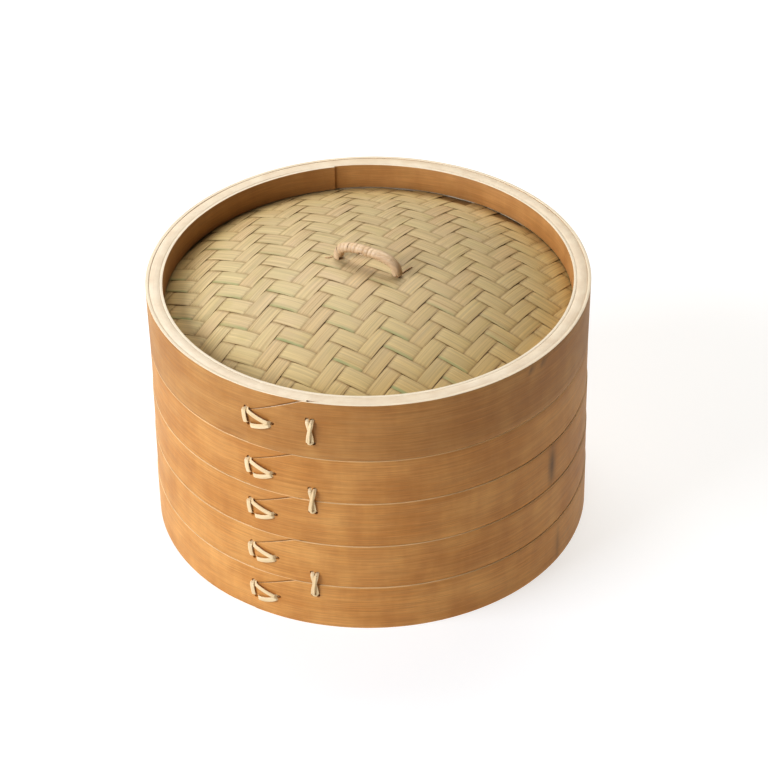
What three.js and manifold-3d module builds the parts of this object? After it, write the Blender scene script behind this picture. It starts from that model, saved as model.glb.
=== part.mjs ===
// Bamboo steamer basket: two stacked tiers and a domed, woven lid.
// Millimetres, +Z up. The origin is on the ground, at the middle of the lower tier's foot.
// The front is -Y. Angles are in degrees: 0 is the front, 90 is +X, 180 is the back.
import * as THREE from "three";
import { mergeVertices } from "three/addons/utils/BufferGeometryUtils.js";
import Module from "manifold-3d";

const wasm = await Module();
wasm.setup();

// ---- Driving dimensions ----
const rimRadius = 125; // outside of the lid at its rim
const lidFlare = 0.5; // the lid is this much wider at its rim than at its foot
const bandProud = 0.4; // each band stands this much prouder than the band above it
const tierPitch = 58.25; // from one tier's foot to the next one's
const lidHeight = 37.1; // from the lid's foot to its rim
const gap = 0.3; // clearance between pieces that lie against each other

const plyThickness = 2; // outer bands
const coreWall = 5.1; // the core hoop's wall at the lid's foot
const innerPly = 1.8; // inner ring and rim ring
const lipHeight = 6; // how far the inner ring stands proud of its tier
const seamHeight = 29.25; // the seam between a tier's two bands, above its foot

const tongueThickness = 0.9; // the band's outer end, over the lap
const underThickness = 0.8; // the band's inner end, below the lap
const tongueTip = -34; // degrees
const tongueShoulder = -29; // degrees, where the slanted edge turns down to the tip
const lapStart = -20; // degrees, where the slanted edge leaves the top of the band
const lapRamp = 3; // degrees over which an end thins from the full ply
const tierLapDrop = 8; // height lost along the slanted edge, on a tier's band
const lidLapDrop = 12; // the same on the lid's band
const tipDrop = 5; // height lost from the shoulder to the tip

const lipClearance = 1.2; // from the lip below to the floor ring
const floorRingHeight = 5;
const floorRingWidth = 5.8;
const slatCount = 8;
const slatWidth = 20;
const slatMargin = 8.3; // from the outermost slat's edge to the widest that slats may reach
const slatThickness = 3;
const slatPlay = 2.3; // from a slat's end to the floor ring's outside
const battenOffset = 45; // from the middle to a batten's centre line
const battenWidth = 12;
const battenThickness = 3;

const lacingWidth = 2.6;
const lacingThickness = 1;
const pegRadius = 1.2; // to a corner of the square peg
const lacingAngles = [-32.4, -31.8, -25]; // degrees: upper left, lower left and right hole
const lacingCorners = [5.2, -5.4, -0.7]; // height of each hole from the lacing's middle
const lacingRise = { lid: 0.1, upper: -0.9, lower: 0.1 }; // from a band's middle to its lacing's
const knotAngle = -15; // degrees
const knotHeight = 15.5;
const knotDrop = 0.8; // on the lid, from the band's middle down to the knot's
const knotWidth = 4.2;

const domeEdge = 21.1; // top of the outer mat at the rim ring, above the lid's foot
const domeRise = 21.3; // from there to the middle of the dome
const matThickness = 1.4;
const linerThickness = 0.5;
const matPlay = 0.6; // between a mat's edge and the core hoop
const retainerWidth = 5.8;
const ribOffset = 38;
const ribWidth = 8;
const ribThickness = 2.2;
const ribPlay = 0.5; // below the inner mat's faceted dome

const handleHalfSpan = 19;
const handleRise = 9.5; // from the dome to the arch's centre line
const handleAngle = -31; // degrees, of the arch's plane from +X
const handleSquareness = 0.7; // below 1, the arch is flatter on top than an ellipse
const caneRadius = 1.9;
const wrapRadius = 3;
const splintOverhang = 11; // past each leg
const splintWidth = 8;
const splintThickness = 2.5;
const handleKnotRadius = 4;
const handleKnotHeight = 3.2;

const segments = 48; // round each hoop, a multiple of 4
const sectionGap = 1; // degrees, the least between two sections of a band
const domeSegments = 40;
const domeRings = 4;
const ribSteps = 12;
const pegSides = 4;
const rodSides = 8;
const rodSteps = 24;
const archSteps = 12;
const mergeDistance = 1e-4;

// ---- Derived sizes ----
const lidFootRadius = rimRadius - lidFlare;
const coreInner = lidFootRadius - plyThickness - gap - coreWall;
const ringOuter = coreInner - gap;
const ringInner = ringOuter - innerPly;
const tierHeight = tierPitch - gap;
const floorRingLow = lipHeight + lipClearance;
const slatLow = floorRingLow + floorRingHeight + gap;
const slatHigh = slatLow + slatThickness;
const slatReach = ringOuter - slatPlay;
const slatPitch = (2 * (slatReach - slatMargin) - slatWidth) / (slatCount - 1);
const matStack = 2 * matThickness + linerThickness + 2 * gap; // the two mats and the liner
const splintLength = 2 * (handleHalfSpan + splintOverhang);
const matEdge = coreInner - matPlay;
const lidFoot = 2 * tierPitch;

// ---- Materials ----
const wood = (color, roughness) => new THREE.MeshStandardMaterial({ color, roughness, metalness: 0 });
const bandWood = wood(0xc08a52, 0.55);
const coreWood = wood(0xe8d6b0, 0.6);
const plyWood = wood(0xb98a55, 0.6);
const slatWood = wood(0xdcbf8a, 0.6);
const ribWood = wood(0xcfae78, 0.6);
const wovenWood = wood(0xd2bf8c, 0.55);
const leafSkin = wood(0x9c8f5a, 0.75);
const lacingPeel = wood(0xe2c794, 0.5);
const handleCane = wood(0xd0a273, 0.5);

// ---- Solids ----
function solidFrom(geometry) {
  const bare = geometry.index ? geometry.toNonIndexed() : geometry.clone();
  bare.deleteAttribute("normal");
  bare.deleteAttribute("uv");
  const merged = mergeVertices(bare, mergeDistance);
  const mesh = new wasm.Mesh({
    numProp: 3,
    vertProperties: merged.attributes.position.array,
    triVerts: new Uint32Array(merged.index.array),
  });
  return new wasm.Manifold(mesh);
}

function geometryFrom(solid) {
  const mesh = solid.getMesh();
  const geometry = new THREE.BufferGeometry();
  geometry.setAttribute("position", new THREE.BufferAttribute(mesh.vertProperties, mesh.numProp));
  geometry.setIndex(new THREE.BufferAttribute(mesh.triVerts, 1));
  geometry.computeVertexNormals();
  return geometry;
}

const join = (solids) => solids.reduce((whole, piece) => whole.add(piece));
const cut = (solid, cutters) => cutters.reduce((left, cutter) => left.subtract(cutter), solid);

function addPiece(group, name, shape, material) {
  const geometry = shape.isBufferGeometry ? shape : geometryFrom(shape);
  const mesh = new THREE.Mesh(geometry, material);
  mesh.name = name;
  group.add(mesh);
  return mesh;
}

// A point at an angle round the basket's axis.
function pointAt(degrees, radius, z) {
  const turn = THREE.MathUtils.degToRad(degrees);
  return new THREE.Vector3(radius * Math.sin(turn), -radius * Math.cos(turn), z);
}

// A body of revolution from its outline of [radius, height] points.
function turned(outline, count) {
  const points = outline.map(([radius, z]) => new THREE.Vector2(radius, z));
  return new THREE.LatheGeometry(points, count).rotateX(Math.PI / 2);
}

function ring(inner, outer, low, high) {
  const outline = [[inner, low], [outer, low], [outer, high], [inner, high], [inner, low]];
  return turned(outline, segments);
}

function blockBetween(x0, x1, y0, y1, z0, z1) {
  const block = new THREE.BoxGeometry(x1 - x0, y1 - y0, z1 - z0);
  return block.translate((x0 + x1) / 2, (y0 + y1) / 2, (z0 + z1) / 2);
}

// A flat bar from one point to another, its broad side facing outward.
function bar(start, end, width, thickness, outward) {
  const along = end.clone().sub(start);
  const length = along.length();
  along.normalize();
  const side = outward.clone().cross(along).normalize();
  const face = along.clone().cross(side);
  const middle = start.clone().add(end).multiplyScalar(0.5);
  const place = new THREE.Matrix4().makeBasis(along, side, face).setPosition(middle);
  return solidFrom(new THREE.BoxGeometry(length, width, thickness).applyMatrix4(place));
}

function peg(start, end, radius, sides) {
  const along = end.clone().sub(start);
  const turn = new THREE.Quaternion().setFromUnitVectors(
    new THREE.Vector3(0, 1, 0),
    along.clone().normalize(),
  );
  const middle = start.clone().add(end).multiplyScalar(0.5);
  const place = new THREE.Matrix4().compose(middle, turn, new THREE.Vector3(1, 1, 1));
  return solidFrom(new THREE.CylinderGeometry(radius, radius, along.length(), sides).applyMatrix4(place));
}

// ---- Outer bands ----
// A thin ply bent once round the hoop. It starts at the tongue, whose top edge slants down to the
// tip, runs all the way round, and ends thinned below the tongue.
function bandSections(radiusAt, low, high, lapDrop) {
  const step = 360 / segments;
  const underStart = tongueTip - lapRamp + 360;
  const underEnd = lapStart - sectionGap + 360;
  const mainStart = lapStart + lapRamp;
  const angles = [tongueTip, tongueShoulder, lapStart, mainStart];
  const nextStep = (angle) => Math.ceil((angle + sectionGap) / step) * step;
  for (let angle = nextStep(mainStart); angle < underStart - lapRamp; angle += step)
    angles.push(angle);
  angles.push(underStart - lapRamp, underStart);
  for (let angle = nextStep(underStart); angle < underEnd - sectionGap; angle += step)
    angles.push(angle);
  angles.push(underEnd);

  return angles.map((angle) => {
    const onTongue = angle <= lapStart;
    const belowTongue = angle >= underStart;
    let top = high;
    if (angle === tongueShoulder) top = high - lapDrop;
    if (angle === tongueTip) top = high - lapDrop - tipDrop;
    const inset = onTongue ? tongueThickness : plyThickness;
    const outset = belowTongue ? plyThickness - underThickness : 0;
    return [
      pointAt(angle, radiusAt(low) - inset, low),
      pointAt(angle, radiusAt(low) - outset, low),
      pointAt(angle, radiusAt(top) - outset, top),
      pointAt(angle, radiusAt(top) - inset, top),
    ];
  });
}

// A closed skin over a row of four-cornered sections, with a cap at each end.
function skinOver(sections) {
  const corners = 4;
  const positions = sections.flat().flatMap((point) => point.toArray());
  const faces = [];
  const quad = (a, b, c, d) => faces.push(a, b, c, a, c, d);
  for (let i = 0; i + 1 < sections.length; i++) {
    for (let k = 0; k < corners; k++) {
      const next = (k + 1) % corners;
      const here = i * corners;
      const there = here + corners;
      quad(here + k, there + k, there + next, here + next);
    }
  }
  const last = (sections.length - 1) * corners;
  quad(0, 1, 2, 3);
  quad(last + 3, last + 2, last + 1, last);
  const geometry = new THREE.BufferGeometry();
  geometry.setAttribute("position", new THREE.Float32BufferAttribute(positions, 3));
  geometry.setIndex(faces);
  return geometry;
}

function band(radiusAt, low, high, lapDrop, holes) {
  return cut(solidFrom(skinOver(bandSections(radiusAt, low, high, lapDrop))), holes);
}

// ---- Lacing ----
// Each lacing has pegs through the wall at its corners, flat strips between them outside, and
// flat strips inside, sunk in the core hoop. The holes for it are the same with room all round.
function lacingPegs(stitch, play) {
  const angles = stitch.corners.map(([angle]) => angle);
  const halfSpan = THREE.MathUtils.degToRad(Math.max(...angles) - Math.min(...angles)) / 2;
  const clearOf = (radius) => radius / Math.cos(halfSpan) + gap + lacingThickness / 2;
  const outer = clearOf(stitch.wallRadius);
  const inner = clearOf(coreInner);
  const pegs = stitch.corners.map(([angle, z]) =>
    peg(pointAt(angle, inner, z), pointAt(angle, outer, z), pegRadius + play, pegSides),
  );
  return { pegs, outer, inner };
}

function lacingStrips(stitch, pairs, radius, play) {
  return pairs.map(([from, to]) => {
    const [startAngle, startZ] = stitch.corners[from];
    const [endAngle, endZ] = stitch.corners[to];
    const outward = pointAt((startAngle + endAngle) / 2, 1, 0);
    const start = pointAt(startAngle, radius, startZ);
    const end = pointAt(endAngle, radius, endZ);
    const reach = end.clone().sub(start).normalize().multiplyScalar(lacingWidth / 2 + play);
    start.sub(reach);
    end.add(reach);
    return bar(start, end, lacingWidth + 2 * play, lacingThickness + 2 * play, outward);
  });
}

function lacingSolid(stitch) {
  const { pegs, outer, inner } = lacingPegs(stitch, 0);
  const outside = lacingStrips(stitch, stitch.outside, outer, 0);
  const inside = lacingStrips(stitch, stitch.inside, inner, 0);
  return join([...pegs, ...outside, ...inside]);
}

function lacingHole(stitch) {
  const { pegs, inner } = lacingPegs(stitch, gap);
  return join([...pegs, ...lacingStrips(stitch, stitch.inside, inner, gap)]);
}

// Three holes in a triangle, which hold down a band's tongue.
function lapLacing(wallRadius, middle) {
  const corners = lacingAngles.map((angle, i) => [angle, middle + lacingCorners[i]]);
  const sides = [[0, 1], [0, 2], [1, 2]];
  return { wallRadius, corners, outside: sides, inside: [[0, 1], [1, 2]] };
}

// Two crossing strands outside, with two upright ones inside.
function knot(wallRadius, angle, middle) {
  const spread = THREE.MathUtils.radToDeg(knotWidth / 2 / wallRadius);
  const high = middle + knotHeight / 2;
  const low = middle - knotHeight / 2;
  const corners = [
    [angle - spread, high],
    [angle + spread, high],
    [angle - spread, low],
    [angle + spread, low],
  ];
  return { wallRadius, corners, outside: [[0, 3], [1, 2]], inside: [[0, 2], [1, 3]] };
}

// ---- A tier ----
function slatShape(centre) {
  const left = centre - slatWidth / 2;
  const right = centre + slatWidth / 2;
  const endAt = (x) => Math.sqrt(slatReach ** 2 - x ** 2);
  const shape = new THREE.Shape([
    new THREE.Vector2(left, -endAt(left)),
    new THREE.Vector2(right, -endAt(right)),
    new THREE.Vector2(right, endAt(right)),
    new THREE.Vector2(left, endAt(left)),
  ]);
  return new THREE.ExtrudeGeometry(shape, { depth: slatThickness, bevelEnabled: false });
}

function tier(name, upperRadius) {
  const group = new THREE.Group();
  const lowerRadius = upperRadius + bandProud;
  const coreOuter = upperRadius - plyThickness - gap;

  const upperLacing = lapLacing(upperRadius, (seamHeight + tierHeight) / 2 + lacingRise.upper);
  const lowerLacing = lapLacing(lowerRadius, seamHeight / 2 + lacingRise.lower);
  const frontKnot = knot(lowerRadius, knotAngle, seamHeight);
  const rearKnot = knot(lowerRadius, knotAngle + 180, seamHeight);
  const stitches = {
    upper_lacing: upperLacing,
    lower_lacing: lowerLacing,
    front_knot: frontKnot,
    rear_knot: rearKnot,
  };
  const holes = Object.values(stitches).map(lacingHole);

  const core = solidFrom(ring(coreInner, coreOuter, 0, tierHeight));
  addPiece(group, `${name}_core_hoop`, cut(core, holes), coreWood);

  const upperBand = band(() => upperRadius, seamHeight + gap / 2, tierHeight, tierLapDrop, holes);
  addPiece(group, `${name}_upper_band`, upperBand, bandWood);
  const lowerBand = band(() => lowerRadius, 0, seamHeight - gap / 2, tierLapDrop, holes);
  addPiece(group, `${name}_lower_band`, lowerBand, bandWood);

  const innerRing = ring(ringInner, ringOuter, slatHigh + gap, tierHeight + lipHeight);
  addPiece(group, `${name}_inner_ring`, innerRing, plyWood);
  const floorRingInner = ringOuter - floorRingWidth;
  const floorRing = ring(floorRingInner, ringOuter, floorRingLow, floorRingLow + floorRingHeight);
  addPiece(group, `${name}_floor_ring`, floorRing, coreWood);

  for (let i = 0; i < slatCount; i++) {
    const centre = (i - (slatCount - 1) / 2) * slatPitch;
    const slat = addPiece(group, `${name}_floor_slat_${i + 1}`, slatShape(centre), slatWood);
    slat.position.z = slatLow;
  }
  const battenHigh = slatLow - gap;
  const clearOfRing = floorRingInner - slatPlay;
  const battenReach = Math.sqrt(clearOfRing ** 2 - (battenOffset + battenWidth / 2) ** 2);
  [-1, 1].forEach((side, i) => {
    const batten = new THREE.BoxGeometry(2 * battenReach, battenWidth, battenThickness);
    const mesh = addPiece(group, `${name}_floor_batten_${i + 1}`, batten, ribWood);
    mesh.position.set(0, side * battenOffset, battenHigh - battenThickness / 2);
  });

  for (const [kind, stitch] of Object.entries(stitches))
    addPiece(group, `${name}_${kind}`, lacingSolid(stitch), lacingPeel);
  return group;
}

// ---- The lid ----
// Height of the outer mat's top above the lid's foot.
const dome = (radius) => domeEdge + domeRise * (1 - (radius / ringInner) ** 2);

// A domed sheet that lies a given depth below the outer mat's top.
function domedSheet(depth, thickness) {
  const radii = Array.from({ length: domeRings + 1 }, (_, i) => (matEdge * i) / domeRings);
  const under = radii.map((radius) => [radius, dome(radius) - depth - thickness]);
  const over = radii.map((radius) => [radius, dome(radius) - depth]).reverse();
  return turned([...under, ...over], domeSegments);
}

// A splint bent to the dome's curve, which runs along X at an offset in Y.
function ribGeometry(depth) {
  const outerSide = ribOffset + ribWidth / 2;
  const reach = Math.sqrt(matEdge ** 2 - outerSide ** 2);
  const tops = Array.from({ length: ribSteps + 1 }, (_, i) => {
    const x = reach * ((2 * i) / ribSteps - 1);
    return new THREE.Vector2(x, dome(Math.hypot(x, outerSide)) - depth);
  });
  const unders = tops.map((top) => new THREE.Vector2(top.x, top.y - ribThickness));
  const shape = new THREE.Shape([...unders, ...tops.reverse()]);
  const splint = new THREE.ExtrudeGeometry(shape, { depth: ribWidth, bevelEnabled: false });
  return splint.rotateX(Math.PI / 2).translate(0, ribWidth / 2, 0);
}

// The handle stands in its own XZ plane, with the lid's foot at z = 0.
function handleCurve(lowEnd) {
  const foot = dome(handleHalfSpan);
  const rise = dome(0) + handleRise - foot;
  const points = [new THREE.Vector3(-handleHalfSpan, 0, lowEnd)];
  for (let i = 0; i <= archSteps; i++) {
    const turn = (Math.PI * i) / archSteps;
    const across = -Math.sign(Math.cos(turn)) * Math.abs(Math.cos(turn)) ** handleSquareness;
    const up = Math.max(Math.sin(turn), 0) ** handleSquareness;
    points.push(new THREE.Vector3(handleHalfSpan * across, 0, foot + rise * up));
  }
  points.push(new THREE.Vector3(handleHalfSpan, 0, lowEnd));
  return new THREE.CatmullRomCurve3(points, false, "centripetal");
}

function rodAlong(curve, radius) {
  const section = new THREE.Shape(
    new THREE.EllipseCurve(0, 0, radius, radius, 0, 2 * Math.PI).getPoints(rodSides).slice(0, rodSides),
  );
  const path = { steps: rodSteps, extrudePath: curve, bevelEnabled: false };
  return solidFrom(new THREE.ExtrudeGeometry(section, path));
}

function uprightRod(x, radius, low, high) {
  return peg(new THREE.Vector3(x, 0, low), new THREE.Vector3(x, 0, high), radius, rodSides);
}

function lid() {
  const group = new THREE.Group();
  const flareAt = (z) => lidFootRadius + (lidFlare * z) / lidHeight;
  const lidLacing = lapLacing(rimRadius, lidHeight / 2 + lacingRise.lid);
  const knotMiddle = lidHeight / 2 - knotDrop;
  const frontKnot = knot(rimRadius, knotAngle, knotMiddle);
  const rearKnot = knot(rimRadius, knotAngle + 180, knotMiddle);
  const stitches = { lacing: lidLacing, front_knot: frontKnot, rear_knot: rearKnot };
  const holes = Object.values(stitches).map(lacingHole);

  const coreFoot = lidFootRadius - plyThickness - gap;
  const coreRim = coreFoot + lidFlare;
  const coreLow = gap / 2;
  const outline = [
    [coreInner, coreLow],
    [coreFoot, coreLow],
    [coreRim, lidHeight],
    [coreInner, lidHeight],
    [coreInner, coreLow],
  ];
  addPiece(group, "lid_core_hoop", cut(solidFrom(turned(outline, segments)), holes), coreWood);
  addPiece(group, "lid_outer_band", band(flareAt, coreLow, lidHeight, lidLapDrop, holes), bandWood);
  addPiece(group, "lid_rim_ring", ring(ringInner, ringOuter, domeEdge + gap, lidHeight), plyWood);
  const legs = [-handleHalfSpan, handleHalfSpan];
  const handleTurn = THREE.MathUtils.degToRad(handleAngle);
  const legHoles = legs.map((x) => {
    const centre = new THREE.Vector3(x, 0, 0).applyAxisAngle(new THREE.Vector3(0, 0, 1), handleTurn);
    const top = centre.clone().setZ(2 * lidHeight);
    return peg(centre, top, caneRadius + 2 * gap, rodSides);
  });
  const linerDepth = matThickness + gap;
  const innerMatDepth = linerDepth + linerThickness + gap;
  const sheets = [
    ["lid_woven_mat_outer", 0, matThickness, wovenWood],
    ["lid_leaf_liner", linerDepth, linerThickness, leafSkin],
    ["lid_woven_mat_inner", innerMatDepth, matThickness, wovenWood],
  ];
  for (const [name, depth, thickness, material] of sheets)
    addPiece(group, name, cut(solidFrom(domedSheet(depth, thickness)), legHoles), material);

  // Two ribs run along X and, above them, two along Y.
  const upperRibDepth = matStack + ribPlay;
  const ribInside = ribOffset - ribWidth / 2;
  const ribOutside = ribOffset + ribWidth / 2;
  const slopeAtCrossing = dome(Math.hypot(ribInside, ribOutside)) - dome(Math.hypot(ribOutside, ribOutside));
  const lowerRibDepth = upperRibDepth + ribThickness + slopeAtCrossing + gap;
  const ribs = [
    [lowerRibDepth, 0],
    [lowerRibDepth, 180],
    [upperRibDepth, 90],
    [upperRibDepth, 270],
  ];
  ribs.forEach(([depth, turn], i) => {
    const rib = addPiece(group, `lid_rib_${i + 1}`, ribGeometry(depth), ribWood);
    rib.rotation.z = THREE.MathUtils.degToRad(turn);
    rib.position.copy(pointAt(turn, ribOffset, 0));
  });

  // The ribs' ends and the mats' edges rest on the retaining ring, which clears the lip below.
  const retainerLow = lipHeight + gap;
  const retainerHigh = dome(matEdge) - lowerRibDepth - ribThickness - gap;
  const retainer = ring(ringOuter - retainerWidth, ringOuter, retainerLow, retainerHigh);
  addPiece(group, "lid_retaining_ring", retainer, coreWood);

  const handle = new THREE.Group();
  handle.rotation.z = handleTurn;
  group.add(handle);
  const splintHigh = dome((splintLength + splintWidth) / 2) - matStack - gap;
  const splintLow = splintHigh - splintThickness;
  const knotHigh = splintLow - gap;
  const knotLow = knotHigh - handleKnotHeight;
  const curve = handleCurve(knotLow + handleKnotHeight / 2);
  const cane = rodAlong(curve, caneRadius);
  const knots = legs.map((x) => uprightRod(x, handleKnotRadius, knotLow, knotHigh));
  addPiece(handle, "handle_cane_core", join([cane, ...knots]), handleCane);

  const belowMat = dome(handleHalfSpan - wrapRadius) + gap;
  const reach = 2 * handleHalfSpan;
  const under = solidFrom(blockBetween(-reach, reach, -reach, reach, 0, belowMat));
  const wrap = cut(rodAlong(curve, wrapRadius), [rodAlong(curve, caneRadius + gap), under]);
  addPiece(handle, "handle_wrap", wrap, handleCane);

  const splintEnd = splintLength / 2;
  const splintSide = splintWidth / 2;
  const splint = solidFrom(
    blockBetween(-splintEnd, splintEnd, -splintSide, splintSide, splintLow, splintHigh),
  );
  const splintHoles = legs.map((x) => uprightRod(x, caneRadius + gap, 0, 2 * lidHeight));
  addPiece(handle, "handle_splint", cut(splint, splintHoles), ribWood);

  for (const [kind, stitch] of Object.entries(stitches))
    addPiece(group, `lid_${kind}`, lacingSolid(stitch), lacingPeel);
  return group;
}

// ---- Assembly ----
const basket = new THREE.Group();
const lowerTier = tier("lower_tier", lidFootRadius + 2 * bandProud);
basket.add(lowerTier);
const upperTier = tier("upper_tier", lidFootRadius);
upperTier.position.z = tierPitch;
basket.add(upperTier);
const lidGroup = lid();
lidGroup.position.z = lidFoot;
basket.add(lidGroup);

export default basket;
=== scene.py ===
# Bamboo steamer basket: two stacked tiers and a domed, woven lid with a cane handle.
# Metres, in the CAD frame. Angles are in degrees: 0 is the front (-Y), 90 is +X, 180 is the back.
import random
from math import copysign, cos, degrees, exp, floor, hypot, pi, radians, sin, sqrt, tanh

import bpy
import numpy as np
from mathutils import Matrix, Vector, noise


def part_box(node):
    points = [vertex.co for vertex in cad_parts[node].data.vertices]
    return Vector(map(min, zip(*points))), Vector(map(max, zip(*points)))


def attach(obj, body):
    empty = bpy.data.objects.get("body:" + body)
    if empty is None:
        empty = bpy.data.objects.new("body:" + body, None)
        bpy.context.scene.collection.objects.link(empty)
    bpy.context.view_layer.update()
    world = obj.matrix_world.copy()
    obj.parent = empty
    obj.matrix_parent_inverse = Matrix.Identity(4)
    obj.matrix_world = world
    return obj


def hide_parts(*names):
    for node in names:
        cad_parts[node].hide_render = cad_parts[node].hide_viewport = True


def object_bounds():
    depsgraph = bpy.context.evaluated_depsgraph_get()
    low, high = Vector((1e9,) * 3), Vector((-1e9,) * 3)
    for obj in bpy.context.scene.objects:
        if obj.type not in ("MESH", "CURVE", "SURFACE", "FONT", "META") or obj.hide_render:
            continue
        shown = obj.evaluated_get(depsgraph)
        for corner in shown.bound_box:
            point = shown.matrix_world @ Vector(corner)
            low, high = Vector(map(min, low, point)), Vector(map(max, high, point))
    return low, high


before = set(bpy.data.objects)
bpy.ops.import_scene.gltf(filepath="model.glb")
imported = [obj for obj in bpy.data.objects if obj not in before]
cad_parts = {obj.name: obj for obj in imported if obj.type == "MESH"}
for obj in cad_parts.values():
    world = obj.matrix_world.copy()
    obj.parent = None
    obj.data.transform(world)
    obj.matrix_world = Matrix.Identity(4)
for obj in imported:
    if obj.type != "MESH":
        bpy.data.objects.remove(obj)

cad_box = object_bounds()

MM = 0.001
TIERS = ("lower_tier", "upper_tier")

# ---- Sizes shared by several pieces ----
PLY = 2.0 * MM  # outer bands
GAP = 0.3 * MM  # between neighbours that touch, in the CAD shape
SLIT = 0.04 * MM  # the same, as it shows
INNER_PLY = 1.8 * MM  # inner rings and the lid's rim ring
RING_WIDTH = 5.8 * MM  # floor rings and the lid's retaining ring
CORE_INNER = 117.1 * MM
RING_OUTER = CORE_INNER - GAP
RING_INNER = RING_OUTER - INNER_PLY

TONGUE_TIP = -32.2  # degrees, below the left strip of the lacing
TONGUE_SHOULDER = -29.0
LAP_START = -20.0
THICK_START = -18.3  # degrees, where the tongue's thinned stretch ends
LAP_RAMP = 3.0
UNDER_START = 323.0
UNDER_END = 341.2
TIER_LAP_DROP = 8 * MM
LID_LAP_DROP = 12 * MM
TIP_DROP = 3 * MM
TIP_THICKNESS = 0.15 * MM
TONGUE_THICKNESS = 0.55 * MM
UNDER_PLAY = 0.08 * MM

LACING_HOLES = [(-32.4, 5.2 * MM), (-31.8, -5.4 * MM), (-25.0, -0.7 * MM)]
HOLE_RADIUS = 1.3 * MM
PEEL_WIDTH = 2.9 * MM
PEEL_THICKNESS = 0.8 * MM
PEEL_DIP = 2.6 * MM  # how deep a strip's ends go into their holes
KNOT_ANGLE = -15.0
KNOT_HALF_HEIGHT = 7.75 * MM
KNOT_HALF_WIDTH = 1.5 * MM

DOME_EDGE = 137.6 * MM  # top of the outer mat at the rim ring
DOME_RISE = 21.3 * MM
MAT_RADIUS = 116.3 * MM
INNER_MAT_DEPTH = 2.5 * MM

HANDLE_ANGLE = -31.0
HANDLE_HALF_SPAN = 19 * MM
HANDLE_RISE = 9.5 * MM
HANDLE_SQUARENESS = 0.7


# ---- Placing ----
def node_box(node):
    """(largest radius, low, high) of a hoop's CAD node."""
    low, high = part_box(node)
    return high.x, low.z, high.z


def at_angle(angle, radius, z):
    turn = radians(angle)
    return (radius * sin(turn), -radius * cos(turn), z)


def dome(radius):
    """Height of the outer mat's top."""
    return DOME_EDGE + DOME_RISE * (1 - (radius / RING_INNER) ** 2)


def wander(*place):
    """Smooth, repeatable variation from about -1 to 1."""
    return 1.6 * noise.noise(Vector(place))


def smooth(value):
    value = min(max(value, 0.0), 1.0)
    return value * value * (3 - 2 * value)


# ---- Meshes ----
class Shape:
    """Closed bodies collected into one mesh, with one value of each attribute per vertex."""

    def __init__(self):
        self.points = []
        self.faces = []
        self.values = {}

    def add(self, points, faces, **values):
        start = sum(len(p) for p in self.points)
        self.points.append(np.asarray(points, float).reshape(-1, 3))
        self.faces.extend([[start + i for i in face] for face in faces])
        for name, column in values.items():
            self.values.setdefault(name, []).append(np.asarray(column, float))

    def add_slab(self, top, bottom, **values):
        """A slab, with one grid of each attribute for both of its sides."""
        for name, grid in values.items():
            values[name] = np.concatenate([grid, grid]).reshape(-1, *grid.shape[2:])
        self.add(*slab(top, bottom), **values)

    def mesh(self, name):
        points = np.concatenate(self.points)
        if signed_volume(points, self.faces) < 0:
            self.faces = [face[::-1] for face in self.faces]
        mesh = bpy.data.meshes.new(name)
        mesh.from_pydata(points.tolist(), [], self.faces)
        for key, columns in self.values.items():
            column = np.concatenate(columns)
            kind, field = ("FLOAT", "value") if column.ndim == 1 else ("FLOAT_VECTOR", "vector")
            attribute_data = mesh.attributes.new(key, kind, "POINT").data
            attribute_data.foreach_set(field, column.astype(np.float32).ravel())
        mesh.update()
        return mesh


def signed_volume(points, faces):
    total = 0.0
    for face in faces:
        a = points[face[0]]
        for i in range(1, len(face) - 1):
            total += np.dot(a, np.cross(points[face[i]], points[face[i + 1]]))
    return total


def loft(sections):
    """A closed skin over sections of equal size, (count, corners, 3), with a cap at each end."""
    sections = np.asarray(sections, float)
    count, corners = sections.shape[:2]
    faces = []
    for i in range(count - 1):
        for k in range(corners):
            here = i * corners
            there = here + corners
            after = (k + 1) % corners
            faces.append([here + k, there + k, there + after, here + after])
    faces.append(list(range(corners)))
    faces.append([(count - 1) * corners + k for k in reversed(range(corners))])
    return sections.reshape(-1, 3), faces


def slab(top, bottom):
    """A closed body between two grids of points, (along, across, 3)."""
    top = np.asarray(top, float)
    along, across = top.shape[:2]
    size = along * across
    faces = []
    for i in range(along - 1):
        for k in range(across - 1):
            a = i * across + k
            faces.append([a, a + across, a + across + 1, a + 1])
            faces.append([size + a + 1, size + a + across + 1, size + a + across, size + a])
    border = [k for k in range(across)]
    border += [i * across + across - 1 for i in range(1, along)]
    border += [(along - 1) * across + k for k in reversed(range(across - 1))]
    border += [i * across for i in reversed(range(1, along - 1))]
    for a, b in zip(border, border[1:] + border[:1]):
        faces.append([a, b, size + b, size + a])
    return np.concatenate([top.reshape(-1, 3), np.asarray(bottom, float).reshape(-1, 3)]), faces


def unit_rows(rows):
    return rows / np.linalg.norm(rows, axis=1)[:, None]


def distance_along(path):
    return np.concatenate([[0], np.cumsum(np.linalg.norm(np.diff(path, axis=0), axis=1))])


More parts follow.
